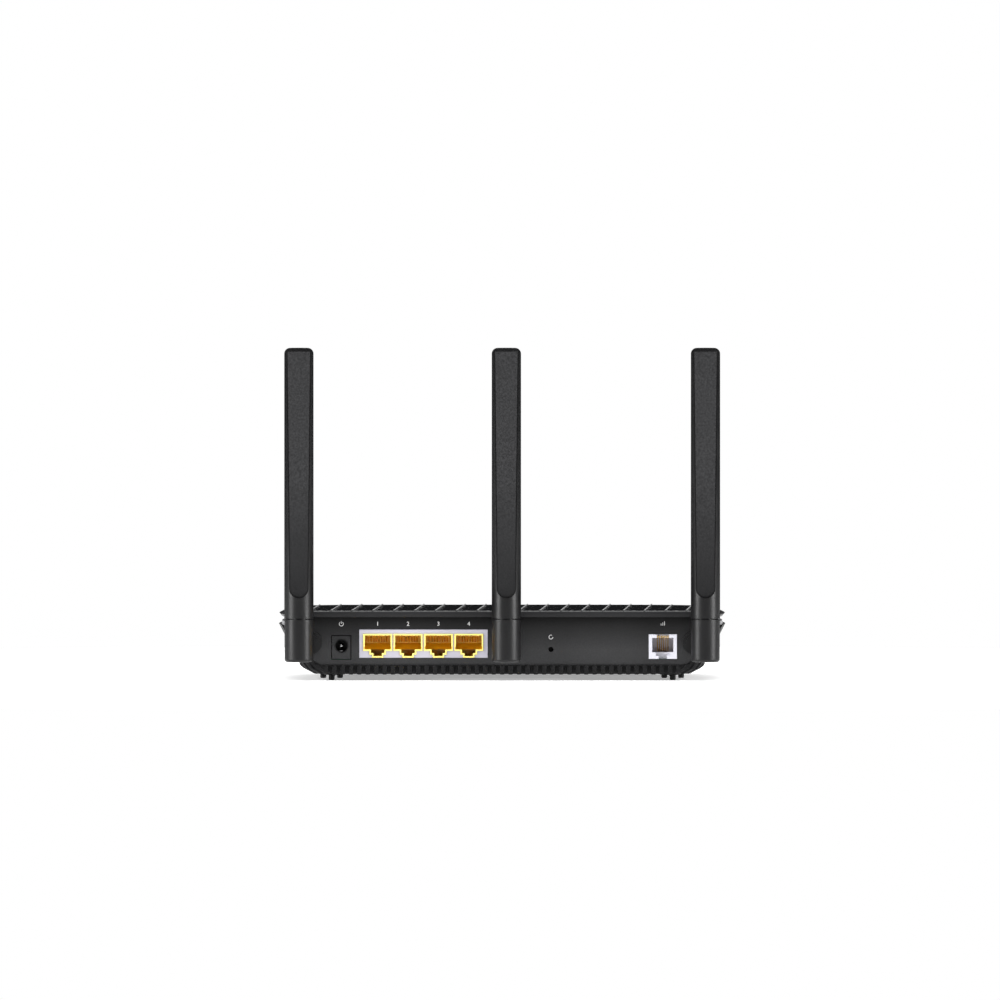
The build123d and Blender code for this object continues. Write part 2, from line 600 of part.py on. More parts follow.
# screws
nodes["case_screws"] = group([screw(spot, floor_z + 2.4, 22.0, 1.2, 2.7, 1.7, 1)
                              for spot in screw_spots()])
nodes["board_screws"] = group([screw(spot, board_top, 5.4, 0.95, 2.6, 1.5, -1)
                               for spot in board_spots()])

for name, shape in nodes.items():
    export_step(shape, f"parts/{name}.step")
print(len(nodes), "nodes")
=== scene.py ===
# %% [markdown]
# # A wireless modem-router, seen from its jack side
# The case, the jacks and the three antennas arrive as a finished mechanical model. This lesson
# adds what a mould and a paint shop add: the embossed cover, the rib work along the lower edge,
# the printed marks, and a finish for every part. Blender works in metres. Shapes are worked out
# in millimetres and multiplied by MM when they become a mesh.

# %% Load the frame
import math

import bpy
import numpy as np
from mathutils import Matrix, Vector


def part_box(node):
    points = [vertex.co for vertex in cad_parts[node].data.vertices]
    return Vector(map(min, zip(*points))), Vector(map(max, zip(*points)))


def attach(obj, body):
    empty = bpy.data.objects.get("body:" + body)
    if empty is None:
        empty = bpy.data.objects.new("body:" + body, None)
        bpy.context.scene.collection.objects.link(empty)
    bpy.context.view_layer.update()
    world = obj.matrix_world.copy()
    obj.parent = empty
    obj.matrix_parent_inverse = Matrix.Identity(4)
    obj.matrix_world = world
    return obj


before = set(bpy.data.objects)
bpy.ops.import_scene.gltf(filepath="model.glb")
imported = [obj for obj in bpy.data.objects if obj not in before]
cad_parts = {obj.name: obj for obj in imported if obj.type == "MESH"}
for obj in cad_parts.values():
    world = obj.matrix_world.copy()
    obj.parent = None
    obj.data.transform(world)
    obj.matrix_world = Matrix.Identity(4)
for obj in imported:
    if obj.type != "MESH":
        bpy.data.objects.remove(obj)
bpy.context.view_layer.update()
MM = 0.001

# %% [markdown]
# ## The camera
# The router is looked at from far away, almost level with the table, so its antennas stay
# parallel. A very long lens twelve metres off does that. The lens follows from the width that
# the view should show at the antennas' distance.

# %% Camera
VIEW_WIDTH = 458.7 * MM
CAMERA_DISTANCE = 12.0
ELEVATION = math.radians(1.15)
AIM_X, AIM_Z = -1.0 * MM, 83.3 * MM
SENSOR_MM = 36.0
rear_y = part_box("antenna_shell_middle")[0].y
camera_data = bpy.data.cameras.new("camera")
camera_data.sensor_width = SENSOR_MM
camera_data.lens = SENSOR_MM * CAMERA_DISTANCE / VIEW_WIDTH
camera_data.clip_end = 5 * CAMERA_DISTANCE
camera = bpy.data.objects.new("camera", camera_data)
bpy.context.collection.objects.link(camera)
away = Vector((0.0, -math.cos(ELEVATION), math.sin(ELEVATION)))
camera.location = Vector((AIM_X, rear_y, AIM_Z)) + away * CAMERA_DISTANCE
camera.rotation_euler = (math.pi / 2 - ELEVATION, 0.0, 0.0)
bpy.context.scene.camera = camera
print("lens", round(camera_data.lens), "mm")

# %% [markdown]
# ## Finishes
# Almost everything here is black plastic, so the finishes differ in how they scatter light: the
# antennas are spark-eroded and grainy, the case is satin, the cover is polished. Each finish is
# one function call: a colour that wanders a little, a roughness that wanders too, and a fine
# relief. The patterns read object coordinates, so they stay put when a part moves.

# %% A finish from a few measures
COAT_ROUGHNESS = 0.08
BROAD_SCALE, BROAD_DETAIL, FINE_DETAIL = 90.0, 4.0, 3.0
RELIEF_STRENGTH = 0.6


def finish(name, colour, rough, grain_mm=0.35, relief_mm=0.02, colour_swing=0.12,
           rough_swing=0.08, metal=0.0, coat=0.0, specular=0.5, stretch=(1, 1, 1)):
    """A procedural material. Colour = colour * (1 +- colour_swing * fine noise); roughness =
    rough +- rough_swing * broad noise; height = relief_mm * fine noise of size grain_mm."""
    mat = bpy.data.materials.new(name)
    mat.use_nodes = True
    nodes, links = mat.node_tree.nodes, mat.node_tree.links
    shader = nodes["Principled BSDF"]
    shader.inputs["Metallic"].default_value = metal
    shader.inputs["Coat Weight"].default_value = coat
    shader.inputs["Coat Roughness"].default_value = COAT_ROUGHNESS
    shader.inputs["Specular IOR Level"].default_value = specular
    place = nodes.new("ShaderNodeTexCoord")
    mapping = nodes.new("ShaderNodeMapping")
    mapping.inputs["Scale"].default_value = stretch
    links.new(place.outputs["Object"], mapping.inputs["Vector"])
    broad = nodes.new("ShaderNodeTexNoise")
    broad.inputs["Scale"].default_value = BROAD_SCALE
    broad.inputs["Detail"].default_value = BROAD_DETAIL
    fine = nodes.new("ShaderNodeTexNoise")
    fine.inputs["Scale"].default_value = 1.0 / (grain_mm * MM)
    fine.inputs["Detail"].default_value = FINE_DETAIL
    for noise in (broad, fine):
        links.new(mapping.outputs["Vector"], noise.inputs["Vector"])
    ramp = nodes.new("ShaderNodeMapRange")
    ramp.inputs["To Min"].default_value = rough - rough_swing
    ramp.inputs["To Max"].default_value = rough + rough_swing
    links.new(broad.outputs["Fac"], ramp.inputs["Value"])
    links.new(ramp.outputs["Result"], shader.inputs["Roughness"])
    blend = nodes.new("ShaderNodeMix")
    blend.data_type = "RGBA"
    blend.inputs[6].default_value = [c * (1 - colour_swing) for c in colour] + [1]
    blend.inputs[7].default_value = [min(1, c * (1 + colour_swing)) for c in colour] + [1]
    links.new(fine.outputs["Fac"], blend.inputs[0])
    links.new(blend.outputs[2], shader.inputs["Base Color"])
    bump = nodes.new("ShaderNodeBump")
    bump.inputs["Strength"].default_value = RELIEF_STRENGTH
    bump.inputs["Distance"].default_value = relief_mm * MM
    links.new(fine.outputs["Fac"], bump.inputs["Height"])
    links.new(bump.outputs["Normal"], shader.inputs["Normal"])
    return mat


def shader_of(mat):
    """The material's shader node, for a value that is the same all over."""
    return mat.node_tree.nodes["Principled BSDF"]


# %% [markdown]
# Outside, the antennas have a coarse spark-eroded grain, and their flat plates a paler one. The
# case is satin, the panel a shade lighter, and only the cover is polished. Each call gives the
# colour, the roughness, the grain and the relief in millimetres, and the swing of the colour.

# %% Finishes of the case and the antennas
antenna_grain = finish("antenna_grain", (0.0042, 0.0042, 0.0045), 0.38, 0.90, 0.09, 0.60,
                       specular=0.27)
plate_grain = finish("plate_grain", (0.0205, 0.0205, 0.0215), 0.50, 0.90, 0.08, 0.90,
                     specular=0.22)
case_satin = finish("case_satin", (0.009, 0.009, 0.0095), 0.50, 0.45, 0.02, 0.30,
                    specular=0.10)
panel_satin = finish("panel_satin", (0.030, 0.030, 0.031), 0.50, 0.50, 0.03, 0.40,
                     specular=0.16)
cover_polish = finish("cover_polish", (0.003, 0.003, 0.004), 0.05, 2.5, 0.002, 0.1, 0.015,
                      specular=0.30)
lip_satin = finish("lip_satin", (0.016, 0.016, 0.017), 0.40, 0.4, 0.015, 0.30, specular=0.12)
silver_paint = finish("silver_paint", (0.42, 0.42, 0.43), 0.34, 0.12, 0.006, 0.06, metal=0.2)
foot_rubber = finish("foot_rubber", (0.004, 0.004, 0.004), 0.45, 0.25, 0.01, specular=0.15)
print("case finishes made")

# %% [markdown]
# The jacks are the only bright parts: yellow and off-white mouldings, a plated shield, and gilt
# contacts that catch the light in the mouths.

# %% Finishes of the jacks
jack_yellow = finish("jack_yellow", (0.92, 0.60, 0.030), 0.34, 0.3, 0.01, 0.06)
jack_metal = finish("jack_metal", (0.47, 0.455, 0.52), 0.42, 0.2, 0.006, 0.06, metal=0.25,
                    stretch=(1, 1, 6))
jack_white = finish("jack_white", (0.66, 0.66, 0.72), 0.40, 0.3, 0.01, 0.05)
gilt = finish("gilt", (0.85, 0.56, 0.18), 0.24, 0.1, 0.003, 0.05, metal=1.0)
pin_nickel = finish("pin_nickel", (0.45, 0.45, 0.45), 0.22, 0.1, 0.002, 0.04, metal=1.0)
print("jack finishes made")

# %% [markdown]
# Inside are the board with its green mask, black mouldings, tinned cans and bare metals. The lamps'
# guide is clear, and the lens over it is smoked.

# %% Finishes of the inside, the lens and the print
zinc_steel = finish("zinc_steel", (0.34, 0.34, 0.36), 0.32, 0.2, 0.005, 0.1, metal=1.0)
tinned_steel = finish("tinned_steel", (0.62, 0.62, 0.62), 0.28, 0.2, 0.004, 0.08, metal=1.0)
board_mask = finish("board_mask", (0.012, 0.11, 0.045), 0.30, 0.6, 0.02, 0.25)
epoxy_black = finish("epoxy_black", (0.016, 0.016, 0.018), 0.55, 0.15, 0.01, 0.2)
deep_black = finish("deep_black", (0.003, 0.003, 0.003), 0.60, 0.2, 0.01, specular=0.05)
sheath_black = finish("sheath_black", (0.014, 0.014, 0.014), 0.45, 0.2, 0.01)
pad_grey = finish("pad_grey", (0.30, 0.32, 0.35), 0.70, 0.3, 0.02)
fin_aluminium = finish("fin_aluminium", (0.72, 0.72, 0.73), 0.34, 0.15, 0.005, 0.08, metal=1.0,
                       stretch=(6, 1, 1))
copper_strip = finish("copper_strip", (0.72, 0.36, 0.20), 0.30, 0.2, 0.004, 0.08, metal=1.0)
lamp_lens = finish("lamp_lens", (0.80, 0.80, 0.74), 0.22, 0.4, 0.003, 0.04)
clear_guide = finish("clear_guide", (0.86, 0.92, 0.97), 0.12, 0.5, 0.002, 0.03)
shader_of(clear_guide).inputs["Transmission Weight"].default_value = 0.85
smoked_lens = finish("smoked_lens", (0.05, 0.055, 0.06), 0.12, 0.5, 0.002, 0.05, coat=0.4)
label_foil = finish("label_foil", (0.30, 0.30, 0.31), 0.45, 0.2, 0.003, 0.06, metal=0.4)
mark_ink = finish("mark_ink", (0.62, 0.62, 0.62), 0.50, 0.15, 0.003, 0.08)
print(len(bpy.data.materials), "materials in all")

# %% [markdown]
# Painted light and shade: some colours run from one to another across a part. The network jacks'
# mouths are painted paler than their depths as painted light, the panel is painted darker towards
# the lip that shades it as painted shadow, and the antennas' plates darker towards their lower end
# as painted shade.

# %% Painted light and shade that run across a part
def fade_towards(mat, axis, start, stop, colour):
    """Mixes a finish towards colour along one object axis: all of it at start, none at stop."""
    nodes, links = mat.node_tree.nodes, mat.node_tree.links
    place = nodes.new("ShaderNodeTexCoord")
    split = nodes.new("ShaderNodeSeparateXYZ")
    links.new(place.outputs["Object"], split.inputs["Vector"])
    fade = nodes.new("ShaderNodeMapRange")
    fade.inputs["From Min"].default_value = start
    fade.inputs["From Max"].default_value = stop
    fade.inputs["To Min"].default_value = 1.0
    fade.inputs["To Max"].default_value = 0.0
    links.new(split.outputs[axis], fade.inputs["Value"])
    blend = nodes.new("ShaderNodeMix")
    blend.data_type = "RGBA"
    colour_input = shader_of(mat).inputs["Base Color"]
    links.new(colour_input.links[0].from_socket, blend.inputs[6])
    blend.inputs[7].default_value = (*colour, 1)
    links.new(fade.outputs["Result"], blend.inputs[0])
    links.new(blend.outputs[2], colour_input)


MOUTH_PAINTED_LIGHT, PANEL_PAINTED_SHADE, PLATE_PAINTED_SHADE = (1.0, 0.86, 0.22), (0.001,) * 3, (0.007, 0.007, 0.0075)
mouth_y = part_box("lan_jack_housing")[0].y
# Painted light: the yellow jacks' mouths are painted paler, standing in for the light on their
# rims.
fade_towards(jack_yellow, "Y", mouth_y + 0.05 * MM, mouth_y + 0.55 * MM, MOUTH_PAINTED_LIGHT)
# Painted shade: the panel is painted darker towards the cover's lip, standing in for the lip's
# shadow.
fade_towards(panel_satin, "Z", 29.5 * MM, 14.0 * MM, PANEL_PAINTED_SHADE)
# Painted shade: the antennas' plates are painted darker towards their lower end.
fade_towards(plate_grain, "Z", 40.0 * MM, 95.0 * MM, PLATE_PAINTED_SHADE)
print("colours run over the jacks' mouths, the panel and the antennas' plates")

# %% [markdown]
# ## Every part gets its finish
# A table from part to finish keeps the choice in one place, and the antennas share one row each.

# %% Assign the finishes
part_finish = {
    "bottom_tray": case_satin, "top_cover": lip_satin, "side_trim_left": silver_paint,
    "side_trim_right": silver_paint, "feet": foot_rubber, "rear_panel": panel_satin,
    "lan_jack_housing": jack_yellow, "lan_jack_shield": jack_metal, "lan_jack_contacts": gilt,
    "dsl_jack_housing": jack_white, "dsl_jack_contacts": gilt,
    "power_jack_housing": panel_satin, "power_jack_pin": pin_nickel,
    "power_jack_spring": pin_nickel, "antenna_leads": sheath_black, "lead_plugs": gilt,
    "main_board": board_mask, "side_port_panel": case_satin, "power_button": lip_satin,
    "wifi_button": lip_satin, "side_switches": epoxy_black, "usb_shell": tinned_steel,
    "usb_tongue": epoxy_black, "usb_contacts": gilt, "reset_switch": epoxy_black,
    "reset_button": deep_black, "processor": epoxy_black, "thermal_pad": pad_grey,
    "heat_sink": fin_aluminium, "memory_chips": epoxy_black, "radio_shields": tinned_steel,
    "lan_transformers": epoxy_black, "dsl_transformer": epoxy_black, "capacitors": sheath_black,
    "power_inductor": epoxy_black, "status_lamps": lamp_lens, "light_guide": clear_guide,
    "case_screws": zinc_steel, "board_screws": zinc_steel,
}
SIDES = ("left", "middle", "right")
for side in SIDES:
    part_finish[f"antenna_knuckle_{side}"] = antenna_grain
    part_finish[f"antenna_shell_{side}"] = antenna_grain
    part_finish[f"antenna_plate_{side}"] = plate_grain
    part_finish[f"antenna_clip_{side}"] = zinc_steel
    part_finish[f"antenna_radiator_{side}"] = copper_strip


def dress(part, mat):
    """Puts one finish in every slot of a part."""
    part.data.materials.clear()
    part.data.materials.append(mat)


for name, mat in part_finish.items():
    dress(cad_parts[name], mat)
print(len(part_finish), "parts dressed")

# %% [markdown]
# ## Surfaces from formulas
# A new piece is an array of points: grids of rows and columns. One helper turns such an array
# into a mesh. Closed bars wrap round in their second direction and have an end face each.

# %% From arrays to a piece
def piece(name, points, faces, mat, body="base", smooth=True):
    """A mesh object from an array of points and a list of faces, riding on a body."""
    mesh = bpy.data.meshes.new(name)
    mesh.from_pydata(np.asarray(points).reshape(-1, 3).tolist(), [], faces)
    mesh.update()
    mesh.polygons.foreach_set("use_smooth", np.full(len(mesh.polygons), smooth))
    obj = bpy.data.objects.new(name, mesh)
    bpy.context.collection.objects.link(obj)
    mesh.materials.append(mat)
    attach(obj, body)
    print(name, len(mesh.polygons), "faces")
    return obj


def bar_faces(bars, rows, columns):
    """Faces of closed bars: quads round each bar and an end face at both ends."""
    bar = np.arange(bars)[:, None, None] * rows * columns
    row = np.arange(rows - 1)[None, :, None] * columns
    col = np.arange(columns)[None, None, :]
    nxt = (col + 1) % columns
    quads = np.stack([bar + row + col, bar + row + nxt, bar + row + columns + nxt,
                      bar + row + columns + col], axis=-1).reshape(-1, 4).tolist()
    ends = []
    for b in range(bars):
        first = b * rows * columns
        last = first + (rows - 1) * columns
        ends.append(list(range(first + columns - 1, first - 1, -1)))
        ends.append(list(range(last, last + columns)))
    return quads + ends


# %% [markdown]
# ## Plan of the case
# The sides of the case are arcs through three points. The ribs and the embossed cover both
# follow them, so the arc is worked out once.

# %% The case's plan curves
WIDEST_Y, FRONT_BOW = -12.0, 6.0
REAR_TAPER, FRONT_TAPER = 2.6, 9.0


def side_x(y, side, rear, front):
    """Half width at y, in millimetres: the circle through the rear corner (side - REAR_TAPER,
    rear), the widest point (side, WIDEST_Y) and the front corner (side - FRONT_TAPER, front -
    FRONT_BOW). The centre is where the three corners' bisectors meet."""
    ax, ay = side - REAR_TAPER, rear
    bx, by = side, WIDEST_Y
    cx, cy = side - FRONT_TAPER, front - FRONT_BOW
    d = 2 * (ax * (by - cy) + bx * (cy - ay) + cx * (ay - by))
    a2, b2, c2 = ax ** 2 + ay ** 2, bx ** 2 + by ** 2, cx ** 2 + cy ** 2
    ox = (a2 * (by - cy) + b2 * (cy - ay) + c2 * (ay - by)) / d
    oy = (a2 * (cx - bx) + b2 * (ax - cx) + c2 * (bx - ax)) / d
    radius = math.hypot(bx - ox, by - oy)
    return ox + np.sqrt(np.maximum(radius ** 2 - (y - oy) ** 2, 0))


# %% [markdown]
# ## Ribs along the lower edge
# The lower edge of the tray is moulded with short ribs that turn from the wall to the underside.
# A rib is a rounded bar carried along a path, so all ribs of one run are one array: rib, step
# along the path, step round the section. A curve with a bevel would do for one rib, but one array
# keeps them all in a single piece.

# %% Bars along paths
RIB_PITCH, RIB_WIDTH, RIB_THICK = 3.86, 2.1, 1.0
RIB_TOP = 7.15
RIB_SQUARENESS, RIB_END = 0.5, 0.6
around = np.linspace(0, 2 * np.pi, 12, endpoint=False)


def squared(wave):
    """A sine or cosine pushed towards +1 and -1: sign(w) * |w| ** RIB_SQUARENESS."""
    return np.sign(wave) * np.abs(wave) ** RIB_SQUARENESS


def rib_run(name, paths, outward):
    """Bars along paths (rib, step, 3): each section is a rounded bar RIB_WIDTH wide and RIB_THICK
    thick, lying just inside its path and smaller at both ends. Across = outward turned by a
    right angle about Z, and the section's normal = path's direction x across."""
    wide = RIB_WIDTH / 2 * squared(np.cos(around))
    deep = RIB_THICK / 2 * (squared(np.sin(around)) - 1)
    paths, outward = np.asarray(paths, float), np.asarray(outward, float)
    along = np.gradient(paths, axis=1)
    across = np.stack([-outward[:, 1], outward[:, 0], 0 * outward[:, 0]], -1)[:, None, :]
    normal = np.cross(along, np.broadcast_to(across, along.shape))
    normal /= np.linalg.norm(normal, axis=2, keepdims=True)
    shrink = np.ones(paths.shape[1])
    shrink[0] = shrink[-1] = RIB_END
    shrink = shrink[None, :, None, None]
    points = (paths[:, :, None, :] + normal[:, :, None, :] * deep[None, None, :, None] * shrink
              + across[:, :, None, :] * wide[None, None, :, None] * shrink) * MM
    return piece(name, points, bar_faces(len(paths), paths.shape[1], len(around)), case_satin)


# %% [markdown]
# The straight runs share one path: a quarter of a superellipse from the wall to the floor. It is
# nearly square under the rear wall and much rounder under the flared sides and the front.

# %% Ribs on the rear, the sides and the front
HOOK_STEPS = 15
REAR_FOOT_Y = -50.6
REAR_HOOK = (6.45, 4.55, 3.0)
FLARE_FOOT_IN = 11.0
FLARE_HOOK = (11.4, 4.5, 1.75)
FLARE_SIDE, FLARE_REAR, FLARE_FRONT = 93.0, -56.6, 62.6
FRONT_FOOT_Y, FRONT_BOW_HALF = 51.6, 83.0


def hooked(feet, outward, reach, drop, power):
    """Paths foot + outward * reach * cos(t)^(2/power), z = RIB_TOP - drop * sin(t)^(2/power)."""
    t = np.linspace(0.0, np.pi / 2, HOOK_STEPS)
    out = (reach * np.cos(t) ** (2 / power))[None, :, None]
    xy = np.asarray(feet)[:, None, :] + np.asarray(outward, float)[:, None, :] * out
    z = np.broadcast_to((RIB_TOP - drop * np.sin(t) ** (2 / power))[None, :, None],
                        xy.shape[:2] + (1,))
    return np.concatenate([xy, z], axis=-1)


rear_x = np.arange(-21, 22) * RIB_PITCH
rearward = np.tile((0.0, -1.0), (len(rear_x), 1))
rear_feet = np.stack([rear_x, np.full_like(rear_x, REAR_FOOT_Y)], -1)
rib_run("rear_ribs", hooked(rear_feet, rearward, *REAR_HOOK), rearward)
flank_y = np.arange(-11, 9) * RIB_PITCH
flank_x = side_x(flank_y, FLARE_SIDE, FLARE_REAR, FLARE_FRONT) - FLARE_FOOT_IN
for sign, label in ((-1, "left"), (1, "right")):
    sideways = np.tile((float(sign), 0.0), (len(flank_y), 1))
    flank_feet = np.stack([sign * flank_x, flank_y], -1)
    rib_run(f"{label}_ribs", hooked(flank_feet, sideways, *FLARE_HOOK), sideways)
front_x = np.arange(-14, 15) * RIB_PITCH
frontward = np.tile((0.0, 1.0), (len(front_x), 1))
front_feet = np.stack([front_x, FRONT_FOOT_Y - FRONT_BOW * (front_x / FRONT_BOW_HALF) ** 2], -1)
rib_run("front_ribs", hooked(front_feet, frontward, *FLARE_HOOK), frontward)

# %% [markdown]
# At the rear corners the ribs climb a little higher and follow the case's own skin: its half
# width and its rear face are known at four heights, and the corner is an arc of 8 mm.

# %% Ribs round the rear corners
SKIN_Z, SKIN_SIDE = [3.0, 5.3, 7.6, 22.2], [87.4, 91.7, 93.4, 101.2]
SKIN_REAR = [-55.2, -56.6, -56.6, -56.6]
CORNER_R, REAR_NARROW, RIB_PROUD = 8.0, 1.75, 0.7
CASE_FLOOR, CORNER_STEPS = 2.95, 13
CORNER_TURNS, CORNER_TOPS = [14.0, 40.0, 66.0, 88.0], [7.6, 8.8, 9.8, 10.4]


def corner_paths(sign, turn, top):
    """Per angle a path down the corner's skin: arc centre + (CORNER_R + RIB_PROUD) * outward,
    for z from top to the floor of the case."""
    z = np.linspace(top, np.full_like(top, CASE_FLOOR), CORNER_STEPS, axis=1)
    centre_x = np.interp(z, SKIN_Z, SKIN_SIDE) - REAR_NARROW - CORNER_R
    centre_y = np.interp(z, SKIN_Z, SKIN_REAR) + CORNER_R
    out = CORNER_R + RIB_PROUD
    return np.stack([sign * (centre_x + out * np.sin(turn)[:, None]),
                     centre_y - out * np.cos(turn)[:, None], z], -1)


turn = np.radians(CORNER_TURNS)
for sign, label in ((-1, "left"), (1, "right")):
    spread = np.stack([sign * np.sin(turn), -np.cos(turn)], -1)
    rib_run(f"{label}_corner_ribs", corner_paths(sign, turn, np.array(CORNER_TOPS)), spread)

# %% [markdown]
# ## The embossed cover
# The cover's top is polished black. Flat-topped ridges run from the rear to the front on slightly
# drifting lines, and each one rises and falls along its way. Between them lies a shallow quilt
# with narrow creases. The quilt is one height field, which fades to nothing at the border; the
# ridges are one array of bars.

# %% The outline of the cover's top
cover_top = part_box("top_cover")[1].z / MM
TOP_SIDE, TOP_REAR, TOP_FRONT = 99.4, -57.2, 69.0
REAR_CORNER, FRONT_CORNER = 8.0, 26.0
CORNER_SETBACK = 0.75 * FRONT_BOW


def rounded_off(inside, radius):
    """What a corner of this radius takes off the half width, inside millimetres past its start:
    radius - sqrt(radius^2 - inside^2)."""
    return radius - np.sqrt(radius ** 2 - inside ** 2)


def top_half_width(y):
    """Half width of the cover's top at y: the side arc, less the rounding of both corners."""
    rear_in = np.clip(TOP_REAR + REAR_CORNER - y, 0, REAR_CORNER)
    front_start = TOP_FRONT - CORNER_SETBACK - FRONT_CORNER
    front_in = np.clip(y - front_start, 0, FRONT_CORNER)
    wide = side_x(y, TOP_SIDE, TOP_REAR, TOP_FRONT)
    return wide - rounded_off(rear_in, REAR_CORNER) - rounded_off(front_in, FRONT_CORNER)


print("cover top at", round(cover_top, 2), "mm, half width", round(float(top_half_width(0.0)), 1))

# %% [markdown]
# The quilt is a sheet of rows and columns. Its rim turns down into the cover, and a flat underside
# closes it, so the piece is a slab that could be printed.

# %% The quilt
PITCH, DRIFT = 9.6, 0.033
QUILT_RELIEF = 0.42
CREASE_SPREAD, CREASE_SHARE, QUILT_SHARE = 0.055, 0.20, 0.08
QUILT_ROWS, QUILT_COLUMNS, FIRST_ROW = 190, 500, 0.002
BORDER, ROW_SETBACK, BORDER_FADE = 0.4, 0.78 * FRONT_BOW, 60
SHEET_SINK, SHEET_FOOT, RIM_DROP = 0.02, 0.10, 0.3


def quilt_height(x, y):
    """Height as a share of QUILT_RELIEF: CREASE_SHARE of a narrow bell midway between the ridge
    lines times |sin| of the distance along, plus QUILT_SHARE of |sin| across times |sin| along."""
    phase = (x - DRIFT * y) / PITCH + 0.5
    bell = np.exp(-((phase - np.round(phase)) / CREASE_SPREAD) ** 2)
    along = np.abs(np.sin(np.pi * y / PITCH))
    return CREASE_SHARE * bell * along + QUILT_SHARE * np.abs(np.sin(np.pi * phase)) * along


def embossed_top():
    """Rows v from rear to front, columns u from side to side: x = half width * u, and y gains
    v^6 * (1 - u^2) of the front's bow. The relief fades to nothing at the border."""
    v = np.linspace(FIRST_ROW, 1, QUILT_ROWS)[:, None]
    u = np.linspace(-1, 1, QUILT_COLUMNS)[None, :]
    row_y = TOP_REAR + BORDER + (TOP_FRONT - ROW_SETBACK - TOP_REAR - BORDER) * v
    x = (top_half_width(row_y) - BORDER) * u
    y = row_y + CORNER_SETBACK * v ** 6 * (1 - u ** 2)
    edge = np.minimum(np.clip((1 - np.abs(u)) * BORDER_FADE, 0, 1),
                      np.clip(np.minimum(v, 1 - v) * BORDER_FADE, 0, 1))
    z = cover_top - SHEET_SINK + edge * (SHEET_FOOT + QUILT_RELIEF * quilt_height(x, y))
    top = np.stack([x, y, z], -1).reshape(-1, 3)
    index = np.arange(QUILT_ROWS * QUILT_COLUMNS).reshape(QUILT_ROWS, QUILT_COLUMNS)
    quads = np.stack([index[:-1, :-1], index[:-1, 1:], index[1:, 1:], index[1:, :-1]],
                     -1).reshape(-1, 4)
    loop = np.concatenate([index[0, :-1], index[:-1, -1], index[-1, :0:-1], index[:0:-1, 0]])
    low = np.arange(len(loop)) + index.size
    wall = np.stack([loop, low, np.roll(low, -1), np.roll(loop, -1)], -1)
    rim = top[loop]
    rim[:, 2] = cover_top - RIM_DROP
    faces = quads.tolist() + wall.tolist() + [low[::-1].tolist()]
    return piece("cover_emboss", np.concatenate([top, rim]) * MM, faces, cover_polish)


embossed_top()

# %% [markdown]
# The ridges' tops are flat from side to side, so each catches the low lamp behind over its whole
# width. They are shaded flat for the same reason.

# %% The ridges
RIDGE_FOOT, RIDGE_HEIGHT = 0.12, 0.40
RIDGE_ACROSS, RIDGE_LIFT = np.array([-0.36, -0.28, 0.28, 0.36]), np.array([-0.35, 0.0, 0.0, -0.35])
RIDGE_STEPS, RIDGE_END, RIDGE_MARGIN = 170, 2.0, 1.5


def ridge_lines():
    """Bars along x = k * PITCH + DRIFT * y for each k, from rear to front. Their flat tops
    stand RIDGE_FOOT + RIDGE_HEIGHT * |sin(pi * y / PITCH)| above the cover."""
    bars = []
    for k in range(-10, 11):
        y = np.linspace(TOP_REAR + RIDGE_END, TOP_FRONT - FRONT_BOW, 400)
        inside = y[np.abs(k * PITCH + DRIFT * y) < top_half_width(y) - RIDGE_MARGIN]
        y = np.linspace(inside[0], inside[-1], RIDGE_STEPS)[:, None]
        z = cover_top + RIDGE_FOOT + RIDGE_HEIGHT * np.abs(np.sin(np.pi * y / PITCH))
        bars.append(np.stack([k * PITCH + DRIFT * y + RIDGE_ACROSS, y + 0 * RIDGE_ACROSS,
                              z + RIDGE_LIFT], -1))
    faces = bar_faces(len(bars), RIDGE_STEPS, len(RIDGE_ACROSS))
    return piece("cover_ridges", np.stack(bars) * MM, faces, cover_polish,
                 smooth=False)


ridge_lines()

# %% [markdown]
# ## Front lens and label
# On the front the status lamps shine through a smoked strip in the gap under the cover. The
# underside has a plain foil label. Both are simple bars carried along a line.

# %% Lens strip
LENS_HALF, LENS_Y, LENS_DEPTH, LENS_BOW_HALF = 37, 69.6, 1.6, 91.0
LENS_SECTION = [(0.0, 28.0), (0.8, 28.4), (1.6, 28.0), (1.6, 26.2), (0.8, 25.9), (0.0, 26.2)]


def front_lens():
    """A bar along the bowed front: y falls with x squared, and the section's points are (y, z)
    with y from the lens's back."""
    x = np.linspace(-LENS_HALF, LENS_HALF, 41)
    back = LENS_Y - FRONT_BOW * (x / LENS_BOW_HALF) ** 2 - LENS_DEPTH
    rings = [np.stack([x, back + dy, np.full_like(x, z)], -1) for dy, z in LENS_SECTION]
    points = np.stack(rings, axis=1) * MM
    return piece("front_lens", points, bar_faces(1, len(x), len(LENS_SECTION)), smoked_lens)


front_lens()

# %% [markdown]
# The label is a foil with rounded corners, pressed a hair into the tray's floor so that the two
# faces don't fight for the same place.

# %% Foil label
LABEL_HALF_X, LABEL_HALF_Y, LABEL_Y = 32, 9, -30
LABEL_LOW, LABEL_HIGH = -0.1, 0.02


def foil_label():
    """A thin plate with rounded corners, whose outline is a superellipse: x = LABEL_HALF_X *
    |cos a|^0.12 and y = LABEL_Y + LABEL_HALF_Y * |sin a|^0.2, each with its wave's sign."""
    a = np.linspace(0, 2 * np.pi, 64, endpoint=False)
    x = LABEL_HALF_X * np.sign(np.cos(a)) * np.abs(np.cos(a)) ** 0.12
    y = LABEL_Y + LABEL_HALF_Y * np.sign(np.sin(a)) * np.abs(np.sin(a)) ** 0.2
    floor_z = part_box("bottom_tray")[0].z / MM
    rings = [np.stack([x, y, np.full_like(x, floor_z + dz)], -1)
             for dz in (LABEL_LOW, LABEL_HIGH)]
    return piece("foil_label", np.stack(rings) * MM, bar_faces(1, 2, len(a)), label_foil,
                 smooth=False)


